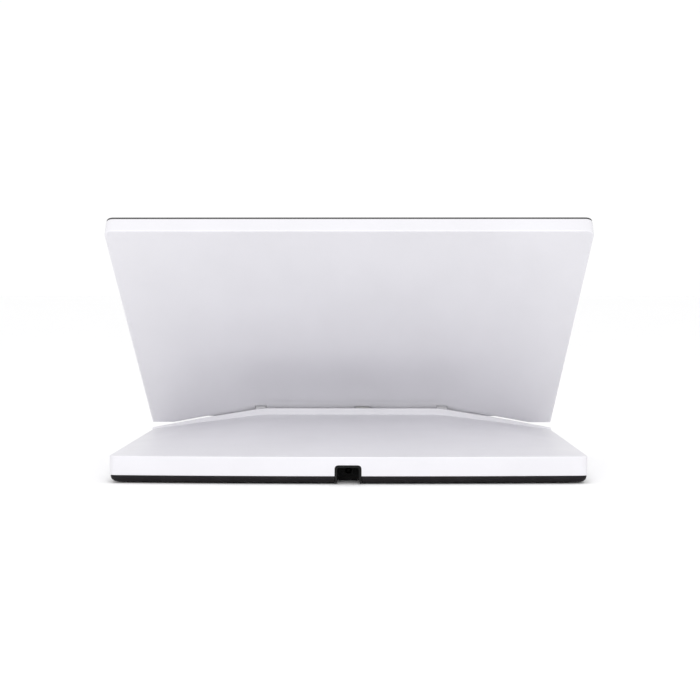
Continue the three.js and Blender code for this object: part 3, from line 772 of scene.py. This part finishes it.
def satin_plastic(name, colour, roughness, grain_mm, grain_depth, wear_colour, wear):
    """Moulded plastic: fine grain, faint flow marks, hairlines, and edges rubbed by handling."""
    material, tree, shader = start_material(name, roughness)
    place = object_place(tree)
    flow = noise(tree, stretched(tree, place, (1, 0.35, 1)), 46, 3.0)
    patches = ranged(tree, flow, 0.3, 0.7, 0.0, 1.0)
    body = two_colours(tree, patches, scaled(colour, 0.975), scaled(colour, 1.012))
    specks = ranged(tree, noise(tree, place, 1.3, 1.0), 0.76, 0.8, 0.0, 0.35)
    speckled = two_colours(tree, specks, body, scaled(colour, 0.86))
    rubbed = ranged(tree, edge_mask(tree, 1.0), 0.0, 1.0, 0.0, wear)
    tree.links.new(two_colours(tree, rubbed, speckled, wear_colour), shader.inputs["Base Color"])
    handled = ranged(tree, noise(tree, place, 30, 4.0), 0.35, 0.7, roughness - 0.05, roughness + 0.07)
    hair = scratches(tree, place, 0.03)
    worn = add(tree, "ShaderNodeMath", {0: hair, 1: -0.12, 2: handled}, operation="MULTIPLY_ADD").outputs[0]
    tree.links.new(worn, shader.inputs["Roughness"])
    grain = noise(tree, place, grain_mm, 2.0)
    waves = noise(tree, place, 18, 1.0)
    bump(tree, shader, (waves, 0.12, 0.12), (grain, 0.35, grain_depth), (hair, -0.2, 0.01))
    return material


def spark_texture(name, colour, roughness):
    """Black plastic with a spark-eroded texture, greyed a little where it is handled."""
    material, tree, shader = start_material(name, roughness, Specular_IOR_Level=0.18)
    place = object_place(tree)
    cells = add(tree, "ShaderNodeTexVoronoi", {"Vector": place, "Scale": 1 / (0.55 * MM)},
                feature="SMOOTH_F1").outputs["Distance"]
    grit = noise(tree, place, 0.25, 2.0)
    pits = ranged(tree, cells, 0.1, 0.7, 0.0, 1.0)
    tone = two_colours(tree, pits, scaled(colour, 1.15), scaled(colour, 0.8))
    dust = ranged(tree, noise(tree, place, 22, 4.0), 0.52, 0.78, 0.0, 0.12)
    dusty = two_colours(tree, dust, tone, (0.09, 0.088, 0.086))
    rubbed = ranged(tree, edge_mask(tree, 0.7), 0.0, 1.0, 0.0, 0.3)
    tree.links.new(two_colours(tree, rubbed, dusty, scaled(colour, 2.4)), shader.inputs["Base Color"])
    rough = ranged(tree, noise(tree, place, 12, 3.0), 0.3, 0.7, roughness - 0.07, roughness + 0.08)
    tree.links.new(rough, shader.inputs["Roughness"])
    bump(tree, shader, (cells, 0.5, 0.05), (grit, 0.3, 0.02))
    return material


def polished_glass(name, colour, smear):
    """Black glass with faint wiped smears; the coat gives the hard reflection."""
    material, tree, shader = start_material(name, 0.06, Coat_Weight=1.0, Coat_Roughness=0.02)
    place = object_place(tree)
    wiped = noise(tree, stretched(tree, place, (0.3, 1, 1)), 34, 5.0)
    tone = two_colours(tree, ranged(tree, wiped, 0.4, 0.7, 0.0, 1.0), colour, scaled(colour, 1.35))
    tree.links.new(tone, shader.inputs["Base Color"])
    tree.links.new(ranged(tree, wiped, 0.42, 0.72, 0.05, 0.05 + smear), shader.inputs["Roughness"])
    bump(tree, shader, (noise(tree, place, 60, 1.0), 0.03, 0.05))
    return material


def clear_pane(name, tint):
    material, tree, shader = start_material(name, 0.03, Transmission_Weight=1.0, IOR=1.5)
    place = object_place(tree)
    haze = noise(tree, place, 20, 4.0)
    tree.links.new(two_colours(tree, haze, tint, scaled(tint, 1.03)), shader.inputs["Base Color"])
    tree.links.new(ranged(tree, haze, 0.45, 0.75, 0.02, 0.09), shader.inputs["Roughness"])
    return material


def brushed_metal(name, colour, roughness, along):
    """Metal with brush lines along one axis, a little uneven in tone."""
    material, tree, shader = start_material(name, roughness, 1.0)
    place = object_place(tree)
    lines = noise(tree, stretched(tree, place, along), 0.8, 3.0)
    cloud = noise(tree, place, 9, 3.0)
    patches = ranged(tree, cloud, 0.3, 0.7, 0.0, 1.0)
    tone = two_colours(tree, patches, scaled(colour, 0.88), scaled(colour, 1.04))
    rubbed = ranged(tree, edge_mask(tree, 0.3), 0.0, 1.0, 0.0, 0.5)
    tree.links.new(two_colours(tree, rubbed, tone, scaled(colour, 1.2)), shader.inputs["Base Color"])
    rough = ranged(tree, lines, 0.3, 0.7, roughness - 0.08, roughness + 0.1)
    tree.links.new(rough, shader.inputs["Roughness"])
    bump(tree, shader, (lines, 0.25, 0.01), (cloud, 0.1, 0.03))
    return material


def rubber(name, colour, grain_mm):
    material, tree, shader = start_material(name, 0.85, Specular_IOR_Level=0.3)
    place = object_place(tree)
    grain = noise(tree, place, grain_mm, 3.0)
    dust = ranged(tree, noise(tree, place, 7, 4.0), 0.45, 0.8, 0.0, 0.4)
    tree.links.new(two_colours(tree, dust, colour, scaled(colour, 2.6)), shader.inputs["Base Color"])
    tree.links.new(ranged(tree, grain, 0.3, 0.7, 0.74, 0.94), shader.inputs["Roughness"])
    bump(tree, shader, (grain, 0.4, 0.04))
    return material


def circuit_board(name, normal, level, chip_colour):
    """Solder resist with copper traces; whatever stands above the board's face is a component."""
    material, tree, shader = start_material(name, 0.4)
    place = object_place(tree)
    along = add(tree, "ShaderNodeVectorMath", {0: place, 1: normal}, operation="DOT_PRODUCT")
    height = along.outputs["Value"]
    component = ranged(tree, height, level, level + 0.05 * MM, 0.0, 1.0)
    traces = add(tree, "ShaderNodeTexBrick", {"Vector": place, "Scale": 260.0, "Mortar Size": 0.035,
                                             "Mortar Smooth": 0.2, "Brick Width": 1.3, "Row Height": 0.4},
                 offset=0.37, squash=0.8).outputs["Fac"]
    pads = add(tree, "ShaderNodeTexVoronoi", {"Vector": place, "Scale": 1 / (2.4 * MM)}).outputs["Distance"]
    pad = ranged(tree, pads, 0.12, 0.09, 0.0, 1.0)
    resist = two_colours(tree, noise(tree, place, 30, 2.0), (0.01, 0.085, 0.045), (0.018, 0.12, 0.062))
    with_traces = two_colours(tree, traces, resist, (0.03, 0.2, 0.1))
    with_pads = two_colours(tree, pad, with_traces, (0.75, 0.55, 0.24))
    tree.links.new(two_colours(tree, component, with_pads, chip_colour), shader.inputs["Base Color"])
    tree.links.new(ranged(tree, component, 0.0, 1.0, 0.32, 0.55), shader.inputs["Roughness"])
    bump(tree, shader, (traces, 0.3, 0.03), (noise(tree, place, 0.5, 2.0), 0.15, 0.02))
    return material


def shrink_wrap(name, colour):
    material, tree, shader = start_material(name, 0.3, Coat_Weight=0.4)
    place = object_place(tree)
    creases = noise(tree, stretched(tree, place, (1, 3, 1)), 14, 5.0)
    tone = two_colours(tree, creases, scaled(colour, 0.8), scaled(colour, 1.25))
    tree.links.new(tone, shader.inputs["Base Color"])
    tree.links.new(ranged(tree, creases, 0.35, 0.65, 0.22, 0.42), shader.inputs["Roughness"])
    bump(tree, shader, (creases, 0.4, 0.25), (noise(tree, place, 1.2, 2.0), 0.1, 0.03))
    return material


def frosted_diffuser(name, colour):
    material, tree, shader = start_material(name, 0.55, Transmission_Weight=0.35, Subsurface_Weight=0.2,
                                            Subsurface_Scale=0.003)
    place = object_place(tree)
    frost = noise(tree, place, 0.4, 3.0)
    tree.links.new(two_colours(tree, noise(tree, place, 12, 3.0), scaled(colour, 0.95), colour),
                   shader.inputs["Base Color"])
    tree.links.new(ranged(tree, frost, 0.3, 0.7, 0.48, 0.68), shader.inputs["Roughness"])
    bump(tree, shader, (frost, 0.4, 0.03))
    return material


def studio_floor():
    material, tree, shader = start_material("studio_floor", 0.9, Specular_IOR_Level=0.1)
    place = object_place(tree)
    paper = noise(tree, place, 120, 3.0)
    tone = two_colours(tree, paper, (0.965, 0.965, 0.968), (0.985, 0.985, 0.987))
    tree.links.new(tone, shader.inputs["Base Color"])
    return material


WHITE = (0.72, 0.713, 0.746)
WHITE_SHELL = satin_plastic("satin_white", WHITE, 0.42, 0.4, 0.012, (0.86, 0.86, 0.88), 0.5)
TRAY_BLACK = spark_texture("textured_black", (0.009, 0.0072, 0.009), 0.5)
PANEL_BLACK = satin_plastic("satin_black", (0.016, 0.016, 0.018), 0.36, 0.3, 0.01, (0.05, 0.05, 0.053), 0.35)
RECESS_BLACK = spark_texture("recess_black", (0.006, 0.006, 0.006), 0.65)
GLASS_BORDER = polished_glass("glass_border", (0.0035, 0.0035, 0.004), 0.05)
GLASS_PICTURE = polished_glass("glass_picture", (0.011, 0.011, 0.013), 0.09)
LCD = polished_glass("display_layers", (0.014, 0.014, 0.017), 0.2)
CLEAR = clear_pane("clear_glass", (0.93, 0.96, 0.95))
LENS = clear_pane("coated_lens", (0.72, 0.62, 0.9))
SHEET_METAL = brushed_metal("backlight_sheet", (0.6, 0.6, 0.62), 0.34, (0.1, 3, 3))
STEEL = brushed_metal("plain_steel", (0.58, 0.59, 0.6), 0.3, (0.15, 3, 3))
RUBBER = rubber("glide_rubber", (0.016, 0.016, 0.016), 0.6)
# The cable and the brackets are dark and bare in the CAD. They are pale here, so that neither shows as a
# dark spot at the crest, where the photo has none.
CABLE = satin_plastic("cable_jacket", (0.72, 0.72, 0.71), 0.45, 0.35, 0.008, (0.8, 0.8, 0.8), 0.3)
WRAP = shrink_wrap("battery_wrap", (0.045, 0.055, 0.07))
DIFFUSER = frosted_diffuser("frosted_diffuser", (0.9, 0.9, 0.87))
PAINTED = satin_plastic("painted_bracket", (0.74, 0.735, 0.76), 0.38, 0.6, 0.01, (0.6, 0.6, 0.62), 0.5)
KEY_GREY = satin_plastic("key_grey", (0.045, 0.046, 0.052), 0.5, 0.35, 0.015, (0.11, 0.11, 0.12), 0.4)
KEY_YELLOW = satin_plastic("key_yellow", (0.62, 0.36, 0.025), 0.46, 0.35, 0.015, (0.75, 0.5, 0.08), 0.4)

GLASS_NORMAL = (0.0, -math.sin(TILT), math.cos(TILT))


def head_level(w):
    """A plane at a height w out of the hinge plane, as its distance along the glass's normal."""
    return float(np.dot(GLASS_NORMAL, PIVOT) + w) * MM


UP, DOWN = (0.0, 0.0, 1.0), (0.0, 0.0, -1.0)
CHIP, LAMP = (0.012, 0.012, 0.013), (0.85, 0.82, 0.6)
MAIN_BOARD = circuit_board("main_board_resist", UP, box_mm("main_board")[0][2] * MM + 1.65 * MM, CHIP)
CAMERA_BOARD = circuit_board("camera_board_resist", UP, box_mm("camera_board")[0][2] * MM + 1.25 * MM, CHIP)
LED_BOARD = circuit_board("lamp_board_resist", DOWN, -9.35 * MM, LAMP)
KEY_BOARD = circuit_board("key_board_resist", GLASS_NORMAL, head_level(1.95), (0.5, 0.5, 0.5))
DRIVER_BOARD = circuit_board("driver_board_resist", GLASS_NORMAL, head_level(-3.35), CHIP)

CAD_LOOKS = {
    "connector_recess": RECESS_BLACK, "dc_socket": RECESS_BLACK, "camera_holder": TRAY_BLACK,
    "camera_lens_barrel": PANEL_BLACK, "camera_lens": LENS, "battery_pack": WRAP, "main_board": MAIN_BOARD,
    "camera_board": CAMERA_BOARD, "display_cable_base": CABLE, "display_cable_head": CABLE,
    "display_frame": TRAY_BLACK, "lcd_panel": LCD, "backlight_unit": SHEET_METAL,
    "display_driver_board": DRIVER_BOARD, "key_board": KEY_BOARD,
}
PAIRED_LOOKS = {
    "hinge_bracket": PAINTED, "hinge_leaf": STEEL, "hinge_shaft": STEEL, "hinge_nut": STEEL,
    "lcd_bracket": SHEET_METAL, "led_board": LED_BOARD, "light_diffuser": DIFFUSER,
}


def dress(node, material, edge_mm=0.18):
    """Give a CAD node its material, and soften its edges without touching its mesh."""
    shown = frame["nodes"][node]
    shown.data.materials.clear()
    shown.data.materials.append(material)
    modifier = shown.modifiers.new("soft_edges", "BEVEL")
    modifier.width = edge_mm * MM
    modifier.segments = 2
    modifier.limit_method = "ANGLE"
    modifier.angle_limit = math.radians(50)


# ---------------------------------------------------------------- assembly
settle(base_shell(), TO_METRES, WHITE_SHELL, "base", "shell_white", "base_top_cover")
settle(tray(), TO_METRES, TRAY_BLACK, "base", "tray_black", "base_tray")
settle(screen_shell(), ON_HEAD @ BACK_TO_FRONT, WHITE_SHELL, "screen", "shell_white", "screen_back_cover")
settle(control_panel(), ON_HEAD, PANEL_BLACK, "screen", "tray_black", "control_panel")
settle(battery_door(), TO_METRES, TRAY_BLACK, "base", "tray_black", "battery_door")
settle(reading_window(), TO_METRES, CLEAR, "base", "clear_glass", "reading_window")

glass = cover_glass()
for material in (GLASS_BORDER, GLASS_PICTURE):
    glass.data.materials.append(material)
settle(glass, ON_HEAD, GLASS_BORDER, "screen", "screen_glass", "screen_glass")

for number, name in enumerate(("power", "zoom_out", "colour_mode", "zoom_in", "overview")):
    is_colour = name == "colour_mode"
    settle(key_cap(name, (number - 2) * KEY["pitch"]), ON_HEAD, KEY_YELLOW if is_colour else KEY_GREY,
           f"{name}_button", "key_yellow" if is_colour else "key_grey", f"{name}_key")

for number in range(1, 5):
    low, high = box_mm(f"glide_{number}")
    spot = Matrix.Translation((*middle((low, high))[:2], 0))
    foot = glide(f"rubber_foot_{number}")
    settle(foot, TO_METRES @ spot, RUBBER, "base", "glide_rubber", f"glide_{number}")

SCREWS = [(f"body_screw_{i}", SCREW["body_length"]) for i in range(1, 7)]
SCREWS += [(f"battery_door_screw_{i}", SCREW["door_length"]) for i in (1, 2)]
for turn, (node, length) in enumerate(SCREWS):
    low, high = box_mm(node)
    spot = Matrix.Translation((*middle((low, high))[:2], low[2])) @ Matrix.Rotation(0.7 * turn, 4, "Z")
    screw = cross_screw(f"{node}_cross", SCREW["head"], SCREW["shank"], length)
    settle(screw, TO_METRES @ spot, STEEL, "base", "steel", node)

for node, material in CAD_LOOKS.items():
    dress(node, material)
for node, material in PAIRED_LOOKS.items():
    for side in SIDES:
        dress(f"{node}_{side}", material)
for side in SIDES:
    for number in (1, 2):
        dress(f"leaf_screw_{side}_{number}", STEEL)


# ---------------------------------------------------------------- studio
def stage_floor(size):
    corners = [(-size, -size, 0), (size, -size, 0), (size, size, 0), (-size, size, 0)]
    floor = make_piece("studio_floor", corners, [(0, 1, 2, 3)])
    floor.data.materials.append(studio_floor())


def soft_light(name, azimuth, elevation, distance, size, power, target):
    """A square soft box that faces the target."""
    light = bpy.data.lights.new(name, "AREA")
    light.shape = "SQUARE"
    light.size = size
    light.energy = power
    holder = bpy.data.objects.new(name, light)
    bpy.context.scene.collection.objects.link(holder)
    aim_at(holder, azimuth, elevation, distance, target)


def aim_at(holder, azimuth, elevation, distance, target):
    """Put something at a bearing from the target, turned to face it; azimuth 180 is behind."""
    turn, rise = math.radians(azimuth), math.radians(elevation)
    offset = Vector((math.sin(turn) * math.cos(rise), -math.cos(turn) * math.cos(rise), math.sin(rise)))
    holder.location = target + offset * distance
    holder.rotation_euler = (-offset).to_track_quat("-Z", "Y").to_euler()


def white_world(strength):
    """An even white surround."""
    world = bpy.data.worlds.new("studio")
    world.use_nodes = True
    background = world.node_tree.nodes["Background"]
    background.inputs["Color"].default_value = (1, 1, 1, 1)
    background.inputs["Strength"].default_value = strength
    bpy.context.scene.world = world


low, high = (Vector(corner) for corner in cad_box)
centre = Vector((0, 0, 0.474 * high.z))
stage_floor(9.0)
white_world(1.02)
soft_light("camera_low", 180, 12, 1.8, 1.4, 6, centre)
soft_light("camera_high", 180, 30, 1.8, 1.2, 5, centre)
bpy.context.scene.view_settings.view_transform = "Standard"

camera = bpy.data.objects.new("camera", bpy.data.cameras.new("camera"))
camera.data.lens = VIEW["lens"]
camera.data.sensor_width = 36
camera.data.clip_end = 30
bpy.context.scene.collection.objects.link(camera)
aim_at(camera, VIEW["azimuth"], VIEW["elevation"], VIEW["distance"], centre)
bpy.context.scene.camera = camera
